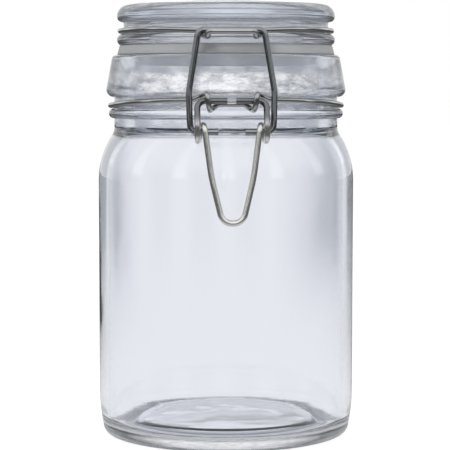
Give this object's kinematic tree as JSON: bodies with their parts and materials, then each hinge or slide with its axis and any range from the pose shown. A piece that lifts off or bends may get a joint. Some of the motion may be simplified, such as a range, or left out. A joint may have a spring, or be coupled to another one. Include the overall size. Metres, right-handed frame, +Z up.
{
  "type": "clip-top glass canister",
  "caption": "Straight-sided glass storage canister with a narrower neck, a hinged glass lid on a rubber seal, and a wire bail and lever clip.",
  "frame": {"origin": "centre of the foot ring, on the plane the jar stands on", "axes": "+Z up along the jar's axis, -Y towards the clip, the rear hinge on +Y, X left and right along the wire pivots"},
  "size_m": [0.08, 0.0896, 0.1358],
  "materials": {
    "glass": "clear, faint cool tint",
    "lid_glass": "clear, faint cool tint",
    "seal_rubber": "matte light grey",
    "ring_wire": "bright drawn wire",
    "lid_wire": "bright drawn wire",
    "lever_wire": "bright drawn wire",
    "bail_wire": "bright drawn wire"
  },
  "bodies": {
    "jar": {"jar": "glass", "neck_ring": "ring_wire"},
    "lid": {"lid": "lid_glass", "gasket": "seal_rubber", "lid_ring": "lid_wire"},
    "lever": {"lever": "lever_wire"},
    "bail": {"bail": "bail_wire"}
  },
  "joints": [
    {"name": "lever_pivot", "type": "hinge", "parent": "jar", "child": "lever", "pos_m": [0, -0.0388, 0.10506], "axis": [-1, 0, 0], "range_deg": [0, 150]},
    {"name": "bail_pivot", "type": "hinge", "parent": "lever", "child": "bail", "pos_m": [0, -0.0393, 0.09596], "axis": [-1, 0, 0], "range_deg": [-150, 0]},
    {"name": "lid_hinge", "type": "hinge", "parent": "jar", "child": "lid", "pos_m": [0, 0.0406, 0.11396], "axis": [-1, 0, 0], "range_deg": [0, 110]}
  ],
  "couplings": [
    {"joint": "bail_pivot", "follows": "lever_pivot", "ratio": -1}
  ]
}
